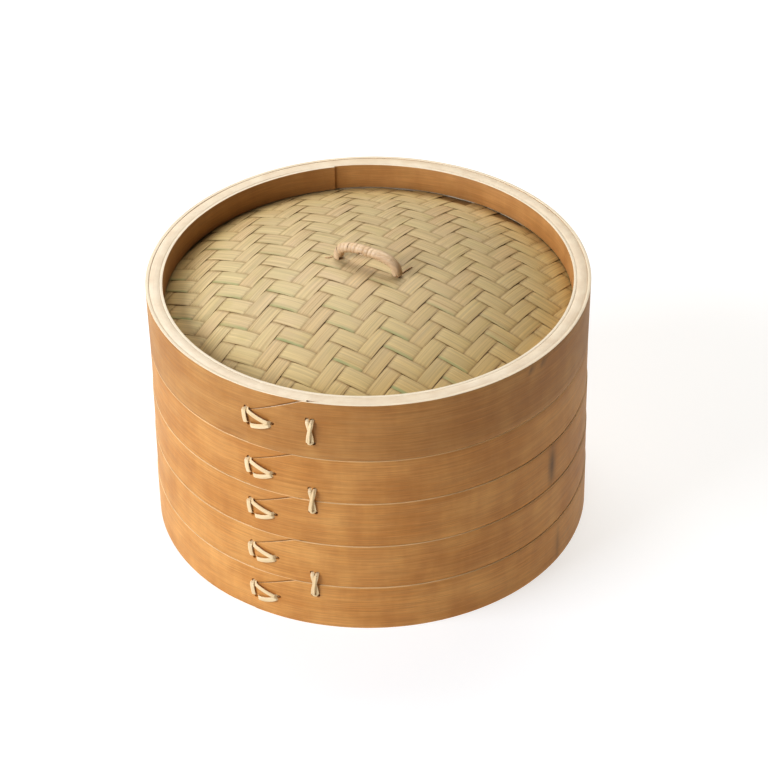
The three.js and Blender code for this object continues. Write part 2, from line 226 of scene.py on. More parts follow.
def ribbon(path, outward, width, thickness, corners=12, taper=0.15):
    """A flat strip swept along a path, its broad side facing outward. Returns points, faces, grain."""
    path = np.asarray(path, float)
    outward = np.asarray(outward, float)
    tangent = unit_rows(np.gradient(path, axis=0))
    side = unit_rows(np.cross(tangent, outward))
    face = np.cross(side, tangent)
    turn = np.linspace(0, 2 * pi, corners, endpoint=False)
    across = np.sign(np.cos(turn)) * np.abs(np.cos(turn)) ** 0.8 / 2
    up = np.sign(np.sin(turn)) * np.abs(np.sin(turn)) ** 0.7 / 2
    travel = distance_along(path)
    share = travel / travel[-1]
    narrow = 1 - taper * (np.abs(2 * share - 1) ** 6)
    wide = np.broadcast_to(width, len(path)) * narrow
    thick = np.broadcast_to(thickness, len(path))
    points = (
        path[:, None, :]
        + side[:, None, :] * (wide[:, None] * across)[:, :, None]
        + face[:, None, :] * (thick[:, None] * up)[:, :, None]
    )
    grain = np.zeros(points.shape)
    grain[:, :, 0] = travel[:, None]
    grain[:, :, 1] = wide[:, None] * across
    skin, faces = loft(points)
    return skin, faces, grain.reshape(-1, 3)


def body_for(node):
    return next((tier for tier in TIERS if node.startswith(tier)), "lid")


def link(thing):
    bpy.context.scene.collection.objects.link(thing)


def add_piece(name, mesh, material, node, sharp=35.0):
    """Puts a piece in the scene in place of a CAD node, with its body and material."""
    piece = bpy.data.objects.new(name, mesh)
    link(piece)
    mesh.materials.clear()
    mesh.materials.append(material)
    mesh.shade_smooth()
    mesh.set_sharp_from_angle(angle=radians(sharp))
    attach(piece, body_for(node))
    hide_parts(node)
    return piece


def pierced(mesh, holes):
    """The mesh with a hole through it at each (angle, z, radius of the wall)."""
    if not holes:
        return mesh
    drills = Shape()
    sides = 14
    spokes = [2 * pi * (k + 0.5) / sides for k in range(sides)]
    flatness = 0.85
    for angle, z, wall in holes:
        rows = []
        side = Vector(at_angle(angle + 90, HOLE_RADIUS, 0))
        up = Vector((0, 0, HOLE_RADIUS * flatness))
        for radius in (wall - 14 * MM, wall + 3 * MM):
            centre = Vector(at_angle(angle, radius, z))
            rows.append([centre + side * cos(turn) + up * sin(turn) for turn in spokes])
        drills.add(*loft(rows))
    cutter = bpy.data.objects.new("drills", drills.mesh("drills"))
    blank = bpy.data.objects.new("blank", mesh)
    link(cutter)
    link(blank)
    cut = blank.modifiers.new("cut", "BOOLEAN")
    cut.operation = "DIFFERENCE"
    cut.solver = "EXACT"
    cut.object = cutter
    bpy.context.view_layer.update()
    whole = blank.evaluated_get(bpy.context.evaluated_depsgraph_get())
    result = bpy.data.meshes.new_from_object(whole)
    result.name = mesh.name
    bpy.data.objects.remove(cutter)
    bpy.data.objects.remove(blank)
    return result


# ---- Materials ----
MARK_TONE = (0.20, 0.105, 0.04)
# painted shade: the crevice line along a band's tongue and the darker stretch by the lid rim ring's seam
PAINTED_SHADE_TONE = (0.19, 0.085, 0.03)
WEAVE_PINK = (0.70, 0.53, 0.335)
WEAVE_OLIVE = (0.58, 0.46, 0.215)
WEAVE_GOLD = (0.55, 0.415, 0.165)  # near the rim
WEAVE_FRONT_SHADE = (0.55, 0.388, 0.143)  # painted shade: darker and yellower towards the front and right
SPLIT_TONE = (0.36, 0.22, 0.075)  # fine cracks along a strip
SIDE_SHADE_TONE = (0.27, 0.16, 0.05)  # painted shade along a strip's long sides, between neighbouring strips
CREVICE_SHADE_TONE = (0.21, 0.105, 0.022)  # painted shade where a strip dives under


def new_material(name, roughness, specular=0.4):
    material = bpy.data.materials.new(name)
    material.use_nodes = True
    shader = material.node_tree.nodes["Principled BSDF"]
    shader.inputs["Roughness"].default_value = roughness
    shader.inputs["Specular IOR Level"].default_value = specular
    return material, material.node_tree, shader


def put(tree, socket, value):
    if isinstance(value, bpy.types.NodeSocket):
        tree.links.new(value, socket)
    else:
        socket.default_value = value


def node_math(tree, operation, a, b=0.0, clamp=False):
    node = tree.nodes.new("ShaderNodeMath")
    node.operation = operation
    node.use_clamp = clamp
    put(tree, node.inputs[0], a)
    put(tree, node.inputs[1], b)
    return node.outputs[0]


def total(tree, a, b):
    return node_math(tree, "ADD", a, b)


def product(tree, a, b):
    return node_math(tree, "MULTIPLY", a, b)


def spread(tree, value, low, high, to_low=0.0, to_high=1.0):
    """The value's range from low to high, eased and clamped to another range."""
    node = tree.nodes.new("ShaderNodeMapRange")
    node.interpolation_type = "SMOOTHSTEP"
    put(tree, node.inputs["Value"], value)
    limits = {"From Min": low, "From Max": high, "To Min": to_low, "To Max": to_high}
    for label, limit in limits.items():
        node.inputs[label].default_value = limit
    return node.outputs["Result"]


def blend(tree, factor, a, b, kind="MIX"):
    node = tree.nodes.new("ShaderNodeMix")
    node.data_type = "RGBA"
    node.blend_type = kind
    put(tree, node.inputs[0], factor)
    for socket, colour in ((node.inputs[6], a), (node.inputs[7], b)):
        put(tree, socket, colour if isinstance(colour, bpy.types.NodeSocket) else (*colour, 1))
    return node.outputs[2]


def tinted(tree, colour, value):
    """The colour times a value of about 1."""
    grey = tree.nodes.new("ShaderNodeCombineColor")
    for socket in grey.inputs[:3]:
        put(tree, socket, value)
    return blend(tree, 1.0, colour, grey.outputs[0], "MULTIPLY")


def attribute(tree, name, output="Fac"):
    node = tree.nodes.new("ShaderNodeAttribute")
    node.attribute_name = name
    return node.outputs[output]


def split(tree, vector):
    node = tree.nodes.new("ShaderNodeSeparateXYZ")
    put(tree, node.inputs[0], vector)
    return node.outputs[0], node.outputs[1], node.outputs[2]


def joined(tree, x, y, z):
    node = tree.nodes.new("ShaderNodeCombineXYZ")
    for socket, value in zip(node.inputs, (x, y, z)):
        put(tree, socket, value)
    return node.outputs[0]


def noise_at(tree, place, detail=4.0, roughness=0.55):
    node = tree.nodes.new("ShaderNodeTexNoise")
    node.inputs["Scale"].default_value = 1.0
    node.inputs["Detail"].default_value = detail
    node.inputs["Roughness"].default_value = roughness
    put(tree, node.inputs["Vector"], place)
    return node.outputs["Fac"]


def scaled(tree, value, factor, offset=0.0):
    return total(tree, product(tree, value, factor), offset)


def stretched(tree, place, factors):
    return joined(tree, *[scaled(tree, part, factor) for part, factor in zip(place, factors)])


def object_place(tree):
    """The point in the object's own frame, as three sockets, and its distance from the upright axis."""
    place = split(tree, tree.nodes.new("ShaderNodeTexCoord").outputs["Object"])
    squares = [product(tree, part, part) for part in place[:2]]
    return place, node_math(tree, "SQRT", total(tree, *squares))


def finish(tree, shader, colour, roughness):
    tree.links.new(colour, shader.inputs["Base Color"])
    tree.links.new(roughness, shader.inputs["Roughness"])


def raise_bump(tree, shader, height, distance, strength=1.0):
    node = tree.nodes.new("ShaderNodeBump")
    node.inputs["Distance"].default_value = distance
    node.inputs["Strength"].default_value = strength
    put(tree, node.inputs["Height"], height)
    tree.links.new(node.outputs["Normal"], shader.inputs["Normal"])


def hoop_place(tree, along, across, seed):
    """Grain coordinates of wood bent round the basket: slow round it, quick over its height and wall."""
    (x, y, z), radius = object_place(tree)
    height = total(tree, z, scaled(tree, radius, 1.3))
    slow_place = joined(tree, scaled(tree, x, 14, seed), scaled(tree, y, 14), scaled(tree, z, 30))
    slow = noise_at(tree, slow_place, 1.0)
    height = total(tree, height, scaled(tree, slow, 0.002))
    x, y = scaled(tree, x, along, seed), scaled(tree, y, along, -seed)
    return joined(tree, x, y, scaled(tree, height, across, seed))


def hoop_wood(name, pale, deep, seed, roughness=0.5, contrast=1.0, cut_tone=None):
    """Bent bamboo: long soft streaks, fine fibres, cloudy patches, and dark marks and painted shade where
    the mesh says.
    """
    material, tree, shader = new_material(name, roughness, 0.42)
    streak = noise_at(tree, hoop_place(tree, 9, 800, seed), 6.0, 0.66)
    fibre = noise_at(tree, hoop_place(tree, 60, 2600, seed + 3), 3.0, 0.65)
    cloud = noise_at(tree, hoop_place(tree, 26, 42, seed + 7), 3.0, 0.55)
    patch = noise_at(tree, hoop_place(tree, 95, 26, seed + 12), 3.0, 0.6)
    tone = total(tree, scaled(tree, streak, 0.42 * contrast), scaled(tree, cloud, 0.6))
    colour = blend(tree, spread(tree, tone, 0.33, 0.72), deep, pale)
    tint = blend(tree, spread(tree, patch, 0.3, 0.7), (0.96, 0.93, 0.90), (1.04, 1.05, 1.05))
    colour = blend(tree, 1.0, colour, tint, "MULTIPLY")
    value = spread(tree, fibre, 0.25, 0.75, 1 - 0.16 * contrast, 1 + 0.09 * contrast)
    colour = tinted(tree, colour, value)
    if cut_tone:
        colour = blend(tree, attribute(tree, "cut"), colour, tinted(tree, cut_tone, value))
    streaked = spread(tree, streak, 0.25, 0.5, 0.3, 0.8)
    marks = node_math(tree, "MULTIPLY", attribute(tree, "mark"), streaked, clamp=True)
    colour = blend(tree, marks, colour, MARK_TONE)
    # painted shade where the mesh asks for it: the tongue's crevice line and the rim ring by its seam
    colour = blend(tree, scaled(tree, attribute(tree, "stain"), 0.6), colour, PAINTED_SHADE_TONE)
    finish(tree, shader, colour, spread(tree, fibre, 0.2, 0.8, roughness - 0.08, roughness + 0.1))
    raise_bump(tree, shader, total(tree, streak, scaled(tree, fibre, 0.6)), 0.09 * MM, 0.5)
    return material


def strip_wood(name, pale, deep, roughness=0.5, along=22, across=1500, contrast=1.0, depth=0.08 * MM):
    """Split bamboo with its grain along the strip. The mesh's grain attribute is along, across, seed."""
    material, tree, shader = new_material(name, roughness)
    grain = split(tree, attribute(tree, "grain", "Vector"))
    streak = noise_at(tree, stretched(tree, grain, (along, across * 0.35, 5.0)), 4.0, 0.6)
    fibre = noise_at(tree, stretched(tree, grain, (along * 3, across * 1.6, 9.0)), 3.0, 0.6)
    colour = blend(tree, spread(tree, streak, 0.3, 0.72), deep, pale)
    colour = tinted(tree, colour, spread(tree, fibre, 0.25, 0.75, 1 - 0.2 * contrast, 1 + 0.06 * contrast))
    finish(tree, shader, colour, spread(tree, fibre, 0.2, 0.8, roughness - 0.08, roughness + 0.1))
    raise_bump(tree, shader, total(tree, streak, fibre), depth, 0.6)
    return material


def woven_wood(name, straw, tan, green, roughness=0.5):
    """Flat woven strips. The mesh says each strip's tone, edge side, green share and depth in the weave."""
    material, tree, shader = new_material(name, roughness)
    grain = split(tree, attribute(tree, "grain", "Vector"))
    tone, edge, greenness = split(tree, attribute(tree, "strip", "Vector"))
    fibre = noise_at(tree, stretched(tree, grain, (14, 900, 5.0)), 5.0, 0.62)
    splits = noise_at(tree, stretched(tree, grain, (6, 1900, 9.0)), 2.0, 0.6)
    blotch = noise_at(tree, stretched(tree, grain, (55, 130, 3.0)), 3.0, 0.5)
    place, distance = object_place(tree)
    area = noise_at(tree, stretched(tree, place, (38, 38, 38)), 2.0)
    mixed = node_math(tree, "ADD", tone, scaled(tree, blotch, 1.0, -0.5), clamp=True)
    colour = blend(tree, mixed, straw, tan)
    pinkish = total(tree, scaled(tree, area, 0.6), scaled(tree, blotch, 0.5))
    colour = blend(tree, spread(tree, pinkish, 0.56, 0.74, 0.0, 0.45), colour, WEAVE_PINK)
    colour = blend(tree, spread(tree, pinkish, 0.52, 0.38, 0.0, 0.5), colour, WEAVE_OLIVE)
    from_axis = total(tree, distance, scaled(tree, area, 0.05, -0.025))
    colour = blend(tree, spread(tree, from_axis, 0.082, 0.116, 0.0, 0.6), colour, WEAVE_GOLD)
    # painted shade, a darker yellow tint that grows towards the front and right
    front_shade = total(tree, scaled(tree, place[0], 3.0), scaled(tree, place[1], -4.2))
    colour = blend(tree, spread(tree, front_shade, -0.25, 0.7, 0.0, 0.85), colour, WEAVE_FRONT_SHADE)
    colour = tinted(tree, colour, spread(tree, fibre, 0.25, 0.75, 0.80, 1.09))
    dark = product(tree, spread(tree, splits, 0.58, 0.70), scaled(tree, tone, 0.85, 0.12))
    colour = blend(tree, dark, colour, SPLIT_TONE)
    # painted shade: uneven dark lines along both long sides of each strip
    side = node_math(tree, "ABSOLUTE", scaled(tree, edge, 1.0, -0.5))
    uneven = spread(tree, blotch, 0.42, 0.62, 0.06, 0.45)
    line = product(tree, spread(tree, side, 0.42, 0.49), uneven)
    colour = blend(tree, line, colour, SIDE_SHADE_TONE)
    skin = product(tree, spread(tree, edge, 0.24, 0.05), greenness)
    skin = product(tree, skin, spread(tree, blotch, 0.3, 0.55, 0.35, 1.0))
    colour = blend(tree, skin, colour, green)
    # painted shade where a strip sinks under the other family
    colour = blend(tree, scaled(tree, attribute(tree, "sunk"), 0.75), colour, CREVICE_SHADE_TONE)
    finish(tree, shader, colour, spread(tree, fibre, 0.2, 0.8, roughness - 0.1, roughness + 0.1))
    raise_bump(tree, shader, total(tree, fibre, scaled(tree, splits, -0.4)), 0.10 * MM, 0.6)
    return material


def leaf_skin(name):
    """Dry leaf below the weave: dull olive brown with fine veins."""
    material, tree, shader = new_material(name, 0.75, 0.25)
    place, _ = object_place(tree)
    vein = noise_at(tree, stretched(tree, place, (30, 900, 30)), 4.0)
    patch = noise_at(tree, stretched(tree, place, (60, 60, 60)), 4.0)
    colour = blend(tree, spread(tree, vein, 0.3, 0.7), (0.20, 0.15, 0.06), (0.34, 0.29, 0.13))
    colour = blend(tree, spread(tree, patch, 0.45, 0.7, 0.0, 0.6), colour, (0.25, 0.15, 0.06))
    tree.links.new(colour, shader.inputs["Base Color"])
    raise_bump(tree, shader, vein, 0.1 * MM, 0.6)
    return material


BAND_PALE = (0.70, 0.377, 0.122)
BAND_DEEP = (0.55, 0.252, 0.061)
BAND_EDGE = (0.82, 0.59, 0.32)
RIM_EDGE = (0.83, 0.70, 0.50)
PLY_EDGE = (0.84, 0.72, 0.53)


def band_wood(name, seed, tone, edge):
    pale = [tone * part for part in BAND_PALE]
    deep = [tone * part for part in BAND_DEEP]
    return hoop_wood(name, pale, deep, seed, 0.5, 1.0, edge)


core_wood = hoop_wood("core_wood", (0.88, 0.77, 0.60), (0.80, 0.665, 0.48), 2.0, 0.55, 0.4)
ply_wood = hoop_wood("ply_wood", (0.66, 0.365, 0.14), (0.51, 0.26, 0.085), 5.0, 0.5, 0.8, PLY_EDGE)
ring_wood = hoop_wood("ring_wood", (0.70, 0.50, 0.27), (0.54, 0.34, 0.15), 9.0, 0.55)
slat_wood = strip_wood("slat_wood", (0.74, 0.58, 0.36), (0.60, 0.42, 0.21), 0.48, 9, 700)
splint_wood = strip_wood("splint_wood", (0.66, 0.50, 0.28), (0.48, 0.32, 0.15), 0.55, 14, 1100)
peel = strip_wood("peel", (0.86, 0.69, 0.43), (0.75, 0.56, 0.31), 0.42, 40, 1500, 0.5, 0.05 * MM)
cane_peel = strip_wood("cane_peel", (0.80, 0.60, 0.38), (0.70, 0.49, 0.28), 0.45, 60, 1500, 0.6, 0.06 * MM)
cane_dark = strip_wood("cane_dark", (0.76, 0.53, 0.31), (0.62, 0.39, 0.20), 0.5, 60, 1800, 0.7, 0.06 * MM)
weave_outer = woven_wood("weave_outer", (0.665, 0.534, 0.288), (0.66, 0.487, 0.27), (0.34, 0.345, 0.145))
weave_inner = woven_wood("weave_inner", (0.68, 0.55, 0.31), (0.64, 0.47, 0.25), (0.42, 0.38, 0.17))
leaf = leaf_skin("leaf")


# ---- Hoops ----
def rounded_side(low, high, inner, outer, corner, outer_rows):
    """A hoop's section as (radius, z, share of cut edge): up its outside, then down its inside."""
    near = 0.3 * corner
    foot = min(corner, 0.12 * MM)
    points = [(outer - foot, low, 1.0), (outer - 0.3 * foot, low + 0.3 * foot, 0.6)]
    points += [(outer, z, 0.0) for z in outer_rows]
    points += [(outer - near, high - near, 1.0), (outer - corner, high, 1.0)]
    middle = (low + high) / 2
    points += [(inner + corner, high, 1.0), (inner + near, high - near, 0.8)]
    points += [(inner, high - corner, 0.0), (inner, middle, 0.0), (inner, low + corner, 0.0)]
    points += [(inner + near, low + near, 0.6), (inner + corner, low, 1.0)]
    return points


def even_rows(low, high, corner, count):
    start = low + min(corner, 0.12 * MM)
    return [start + (high - corner - start) * i / (count - 1) for i in range(count)]


def hoop(name, inner, outer_at, low, high, corner, seed, seam=180.0, thinned=0.0, holes=()):
    """A bent strip whose slanted ends meet in a fine joint. The last end may be thinned on its inside."""
    joint_slant = 5.0
    joint_gap = 0.02
    thinned_reach = 24.0
    steps = 240
    rows = 5
    sections = []
    cut = []
    stain = []
    for i in range(steps + 1):
        share = i / steps
        angle = seam + joint_gap + share * (360 - 2 * joint_gap)
        turn = radians(angle)
        top = high - 0.08 * MM + 0.08 * MM * wander(3 * sin(turn), 3 * cos(turn), seed)
        outer = outer_at((low + high) / 2)
        inside = inner + thinned * (1 - smooth((seam + 360 - angle) / thinned_reach))
        section = rounded_side(low, top, inside, outer, corner, even_rows(low, top, corner, rows))
        # painted shade on a thinned hoop, darkest at its first end and fading over the stretch after the
        # seam
        shaded = 0.12 * (1 - smooth((angle - seam) / thinned_reach)) if thinned else 0.0
        row = []
        for radius, z, edge in section:
            flare = outer_at(z) - outer if radius > (inner + outer) / 2 else 0.0
            slant = 0.0 if thinned else joint_slant * ((radius - inner) / (outer - inner) - 0.5)
            row.append(at_angle(angle + slant, radius + flare, z))
            cut.append(edge)
            stain.append(shaded * (1 - edge))
        sections.append(row)
    shape = Shape()
    shape.add(*loft(sections), cut=cut, stain=stain)
    return pierced(shape.mesh(name), holes)


def lap_height(angle, high, drop, lap_start):
    """Height of the tongue's slanted top edge."""
    if angle >= lap_start:
        return high
    if angle >= TONGUE_SHOULDER:
        share = (lap_start - angle) / (lap_start - TONGUE_SHOULDER)
        return high - drop * share
    share = (TONGUE_SHOULDER - angle) / (TONGUE_SHOULDER - TONGUE_TIP)
    return high - drop - TIP_DROP * share


def tongue_thickness(angle):
    share = min(1.0, (angle - TONGUE_TIP) / (LAP_START - TONGUE_TIP))
    return TIP_THICKNESS + (TONGUE_THICKNESS - TIP_THICKNESS) * smooth(share)


def band(name, node, low, high, outer_at, drop, seed, marks, holes, tone, lap_shift=0.0):
    """A thin ply bent round the hoop, its slanted tongue lapped over its own thinned end.

    Each mark is (angle, height in the band, half width in degrees, half height, strength).
    """
    lap_start = LAP_START + lap_shift
    thick_start = THICK_START + lap_shift
    under_end = UNDER_END + lap_shift
    corner = 0.2 * MM if lap_shift else 0.5 * MM
    low = max(low - 0.10 * MM, cad_box[0][2])
    rows = 11
    angles = list(np.arange(TONGUE_TIP, under_end + 0.01, 1.1))
    angles[-1] = under_end
    sections = []
    stain = []
    mark = []
    cut = []
    for angle in angles:
        under = angle > 180
        front = angle - 360 if under else angle
        turn = radians(angle)
        top = high + 0.12 * MM + 0.04 * MM * wander(4 * sin(turn), 4 * cos(turn), seed)
        inset = 0.0
        depth = PLY
        heights = even_rows(low, top, corner, rows)
        near = [0.0] * rows
        if under:
            into = smooth((angle - (UNDER_START - LAP_RAMP)) / LAP_RAMP)
            inset = (tongue_thickness(max(front, TONGUE_TIP)) + UNDER_PLAY) * into
            if front > TONGUE_TIP - 1:
                line = lap_height(max(front, TONGUE_TIP), top, drop, lap_start)
                tight = [-0.9, -0.35, 0.05, 0.35, 0.8]
                below = list(np.linspace(low + corner, line - 1.6 * MM, 3))
                above = list(np.linspace(min(line + 1.4 * MM, top - corner), top - corner, 3))
                heights = below + [min(line + t * MM, top - corner) for t in tight] + above
                # painted shade along the tongue's slanted edge, over a shallow groove there
                fade = smooth((lap_start - front) / 1.5) * smooth((front - TONGUE_TIP) / 1.0)
                near = [0, 0, 0, fade, fade, fade, 0.55 * fade, 0.12 * fade, 0, 0, 0]
        elif angle < thick_start:
            top = lap_height(angle, top, drop, lap_start)
            depth = tongue_thickness(angle)
            heights = even_rows(low, top, min(corner, depth / 2), rows)
        elif angle < thick_start + LAP_RAMP:
            depth = TONGUE_THICKNESS + (PLY - TONGUE_THICKNESS) * smooth((angle - thick_start) / LAP_RAMP)
        round_off = min(corner, depth / 2)
        base = outer_at(low)
        inside = base - PLY if under else base - depth
        section = rounded_side(low, top, inside, base - inset, round_off, heights)
        row = []
        for k, (radius, z, edge) in enumerate(section):
            cut.append(edge)
            flare = outer_at(z) - base
            dent = 0.12 * MM * (wander(5 * sin(turn), 5 * cos(turn), 40 * z + seed) - 1) * 0.5
            outside = radius > base - 1.2 * MM
            groove = 0.1 * MM * near[k - 2] if 2 <= k < 2 + rows else 0.0
            row.append(at_angle(angle, radius + flare + (dent if outside else 0.0) - groove, z))
            stain.append(near[k - 2] if 2 <= k < 2 + rows else 0.0)
            amount = 0.0
            for place, z_mark, half_angle, half_height, strength in marks:
                off = ((front - place) / half_angle) ** 2 + ((z - low - z_mark) / half_height) ** 2
                amount += strength * exp(-off)
            mark.append(amount)
        sections.append(row)
    shape = Shape()
    shape.add(*loft(sections), stain=stain, mark=mark, cut=cut)
    wood = band_wood(name + "_wood", seed, tone, RIM_EDGE if lap_shift else BAND_EDGE)
    add_piece(name, pierced(shape.mesh(name), holes), wood, node)


# ---- Lacing ----
def strand(path, wall, width=PEEL_WIDTH, thickness=PEEL_THICKNESS):
    """A peel strip over the wall, its path as (angle, z, height off the wall)."""
    points = [at_angle(angle, wall + height, z) for angle, z, height in path]
    outward = [at_angle(angle, 1, 0) for angle, _, _ in path]
    return ribbon(points, outward, width, thickness)


def stitch_path(start, end, wall, rise, bulge=0.0, steps=26):
    """From inside one hole, over the wall, and into the next, as (angle, z, height)."""
    path = []
    arc = radians(1) * wall
    across = (end[0] - start[0]) * arc
    up = end[1] - start[1]
    length = hypot(across, up)
    for i in range(steps + 1):
        share = i / steps
        hump = 4 * share * (1 - share)
        side = bulge * hump
        angle = start[0] + (across * share - side * up / length) / arc
        z = start[1] + up * share + side * across / length
        height = -PEEL_DIP + (rise + PEEL_DIP) * min(1.0, hump / 0.42) ** 0.6 + 0.35 * MM * hump
        path.append((angle, z, height))
    return path


def add_strand(shape, path, wall, seed, width=PEEL_WIDTH, thickness=PEEL_THICKNESS):
    points, faces, grain = strand(path, wall, width, thickness)
    grain[:, 2] = seed
    shape.add(points, faces, grain=grain)


def lap_lacing(name, node, wall, middle, seed):
    """Three strips between three holes, which hold the tongue down."""
    picks = random.Random(seed)
    holes = [(angle, middle + z) for angle, z in LACING_HOLES]
    upper, lower, right = holes
    shape = Shape()
    reach = 0.3
    legs = [
        ((upper[0] - reach, upper[1] - 0.5 * MM), (lower[0] - reach, lower[1] + 0.4 * MM), -0.35, 0.55),
        ((lower[0] + reach, lower[1]), (right[0] - reach, right[1] - 0.5 * MM), -1.1, 0.5),
        ((upper[0] + reach, upper[1] - 0.3 * MM), (right[0] - reach, right[1] + 0.1 * MM), -0.55, 0.95),
    ]
    for k, (start, end, bulge, rise) in enumerate(legs):
        bend = (bulge + picks.uniform(-0.25, 0.25)) * MM
        path = stitch_path(start, end, wall, rise * MM, bend)
        add_strand(shape, path, wall, seed + k, PEEL_WIDTH * picks.uniform(0.92, 1.06))
    add_piece(name, shape.mesh(name), peel, node)


def cross_knot(name, node, wall, middle, centre, seed):
    """Strips that cross over the seam, with a short tuck at the foot."""
    picks = random.Random(seed)
    arc = degrees(1 / wall)
    shape = Shape()
    for side, rise, start, offset, width in (
        (-1, 0.5, 0.90, 0.0, 0.80),
        (1, 1.2, 0.90, 0.0, 0.80),
        (1, 1.55, 0.55, 0.35, 0.36),
    ):
        path = []
        steps = 34
        for i in range(steps + 1):
            share = i / steps
            hump = 4 * share * (1 - share)
            swing = cos(pi * share ** 0.85) * (1 - 0.2 * share)
            x = side * KNOT_HALF_WIDTH * start * swing + offset * MM
            z = middle + KNOT_HALF_HEIGHT * (1 - 2 * share)
            lift = -PEEL_DIP + (rise * MM + PEEL_DIP) * min(1.0, hump / 0.3) ** 0.6 + 0.25 * MM * hump
            path.append((centre + x * arc, z, lift))
        add_strand(shape, path, wall, seed + side + offset, PEEL_WIDTH * width * picks.uniform(0.96, 1.04))
    tuck = []
    for i in range(17):
        share = i / 16
        hump = 4 * share * (1 - share)
        x = KNOT_HALF_WIDTH * 1.15 * (2 * share - 1)
        z = middle - KNOT_HALF_HEIGHT + 1.9 * MM - 1.3 * MM * hump
        tuck.append((centre + x * arc, z, 0.2 * MM + 1.0 * MM * hump ** 0.5))
    add_strand(shape, tuck, wall, seed + 5, PEEL_WIDTH * 0.55, PEEL_THICKNESS * 0.8)
    add_piece(name, shape.mesh(name), peel, node)


def both_knots(name, wall, middle, seed):
    cross_knot(f"{name}_cross_front", f"{name}_front_knot", wall, middle, KNOT_ANGLE, seed)
    cross_knot(f"{name}_cross_rear", f"{name}_rear_knot", wall, middle, KNOT_ANGLE + 180, seed + 1)


def lacing_holes(wall, middle):
    return [(angle, middle + z, wall) for angle, z in LACING_HOLES]


def knot_holes(wall, middle):
    """Four holes for each of the two knots."""
    reach = KNOT_HALF_WIDTH * degrees(1 / wall)
    return [
        (centre + side * reach, middle + level * KNOT_HALF_HEIGHT, wall)
        for centre in (KNOT_ANGLE, KNOT_ANGLE + 180)
        for side in (-1, 1)
        for level in (-1, 1)
    ]


# ---- Straight pieces ----
def plank(shape, axis, centre, width, start_at, end_at, low, high, seed, bow=0.0, steps=24):
    """A planed slat along an axis. start_at and end_at give its ends at a place across it."""
    bevel = 0.5 * MM
    half = width / 2
    across = [-half, -half + bevel, -half / 2, 0.0, half / 2, half - bevel, half]
    top = np.zeros((steps + 3, len(across), 3))
    bottom = np.zeros_like(top)
    grain = np.zeros_like(top)
    for k, off in enumerate(across):
        place = centre + off
        start, end = start_at(place), end_at(place)
        runs = [start, start + bevel, end - bevel, end]
        runs += [start + (end - start) * i / steps for i in range(1, steps)]
        for i, run in enumerate(sorted(runs)):
            at_edge = k in (0, len(across) - 1) or i in (0, len(runs) - 1)
            cup = bow * (1 - (off / half) ** 2)
            rough = 0.06 * MM * wander(run * 30, off * 200, seed)
            drop = bevel * 0.8 if at_edge else 0.0
            z_top = high - drop + cup - bow + min(rough, 0.0)
            z_low = low + drop
            x, y = (run, place) if axis == "X" else (place, run)
            top[i, k] = (x, y, z_top)
            bottom[i, k] = (x, y, z_low)
            grain[i, k] = (run, off, seed)
    shape.add_slab(top, bottom, grain=grain)


def floor_of(tier, seed):
    """Eight slats that run from front to back, and the two battens below them."""
    for i in range(1, 9):
        node = f"{tier}_floor_slat_{i}"
        low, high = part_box(node)
        reach = 114.5 * MM
        ends_at = lambda x: min(sqrt(reach**2 - x * x), high.y + 3 * MM)
        shape = Shape()
        plank(
            shape, "Y", (low.x + high.x) / 2, high.x - low.x, lambda x: -ends_at(x), ends_at,
            low.z, high.z, seed + i, 0.15 * MM,
        )
        add_piece(f"{tier}_slat_{i}", shape.mesh(f"{tier}_slat_{i}"), slat_wood, node, sharp=30)
    for i in (1, 2):
        node = f"{tier}_floor_batten_{i}"
        low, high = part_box(node)
        shape = Shape()
        plank(
            shape, "X", (low.y + high.y) / 2, high.y - low.y, lambda y: low.x, lambda y: high.x,
            low.z, high.z, seed + 20 + i,
        )
        add_piece(f"{tier}_batten_{i}", shape.mesh(f"{tier}_batten_{i}"), splint_wood, node, sharp=30)


